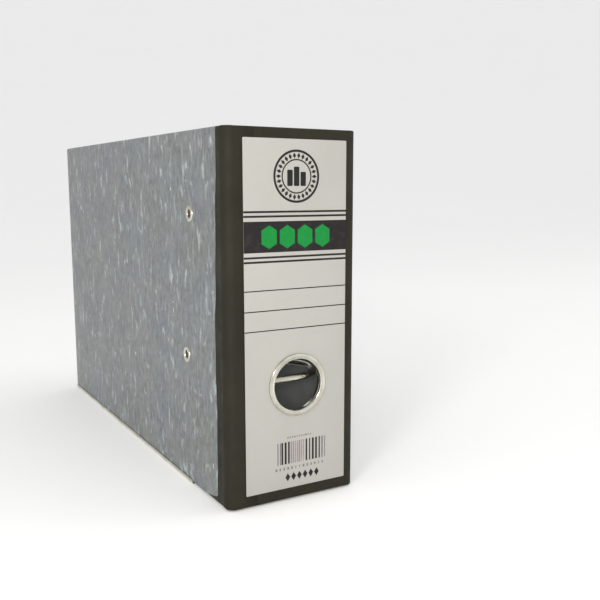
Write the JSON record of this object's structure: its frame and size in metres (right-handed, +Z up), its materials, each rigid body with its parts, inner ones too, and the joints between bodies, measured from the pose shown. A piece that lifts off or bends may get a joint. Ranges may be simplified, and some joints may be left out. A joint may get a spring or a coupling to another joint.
{
  "type": "lever arch file",
  "caption": "Upright lever arch file: hinged paper-covered boards, labelled spine with a thumb hole, and a wire bow that a lever closes onto hollow posts.",
  "frame": {"origin": "centre of the closed file's footprint, on the surface it stands on", "axes": "+Z up along the spine, +X across the spine from the back cover (which carries the mechanism) to the front cover, +Y from the spine to the fore-edge"},
  "size_m": [0.0798, 0.3066, 0.1982],
  "materials": {
    "greyboard": "bare grey board",
    "marbled_paper": "cloud-printed paper with a satin coating",
    "spine_cloth": "dark coated bookcloth",
    "lining_paper": "matt dark grey paper",
    "label_paper": "off-white printed paper",
    "nickel": "bright nickel plate",
    "zinc_plate": "bright zinc-plated pressed steel",
    "spring_steel": "oiled spring wire"
  },
  "bodies": {
    "back_cover": {"back_board": "greyboard", "back_cover_paper": "marbled_paper", "back_lining": "lining_paper", "back_edge_strip": "nickel", "mechanism_base_plate": "zinc_plate", "post_lower": "nickel", "post_upper": "nickel", "rivet_lower": "nickel", "rivet_upper": "nickel", "lever_pivot_pin": "nickel", "bow_spring": "spring_steel"},
    "spine": {"spine_board": "greyboard", "spine_cloth": "spine_cloth", "spine_lining": "lining_paper", "spine_label": "label_paper", "thumb_ring_outer": "nickel", "thumb_ring_inner": "nickel"},
    "front_cover": {"front_board": "greyboard", "front_cover_paper": "marbled_paper", "front_lining": "lining_paper", "front_edge_strip": "nickel"},
    "bow": {"arch_bow": "nickel"},
    "lever": {"lever": "zinc_plate", "roller_pin": "nickel"},
    "roller": {"lever_roller": "nickel"}
  },
  "joints": [
    {"name": "spine_fold", "type": "hinge", "parent": "back_cover", "child": "spine", "pos_m": [-0.03795, -0.1505, 0.09945], "axis": [0, 0, -1], "range_deg": [0, 90], "deforming": ["spine_cloth", "spine_lining"]},
    {"name": "front_cover_fold", "type": "hinge", "parent": "spine", "child": "front_cover", "pos_m": [0.03795, -0.1505, 0.09945], "axis": [0, 0, -1], "range_deg": [0, 180]},
    {"name": "bow_swing", "type": "hinge", "parent": "back_cover", "child": "bow", "pos_m": [-0.03015, -0.1441, 0.106], "axis": [0, 0, -1], "range_deg": [0, 42], "deforming": ["bow_spring"]},
    {"name": "lever_lift", "type": "hinge", "parent": "back_cover", "child": "lever", "pos_m": [-0.0208, -0.1274, 0.1287], "axis": [0, -1, 0], "range_deg": [0, 80]},
    {"name": "roller_spin", "type": "hinge", "parent": "lever", "child": "roller", "pos_m": [-0.02385, -0.1274, 0.1187], "axis": [0, 1, 0], "continuous": true}
  ],
  "couplings": [
    {"joint": "bow_swing", "follows": "spine_fold", "ratio": 0.46667},
    {"joint": "lever_lift", "follows": "spine_fold", "ratio": 0.88889}
  ]
}
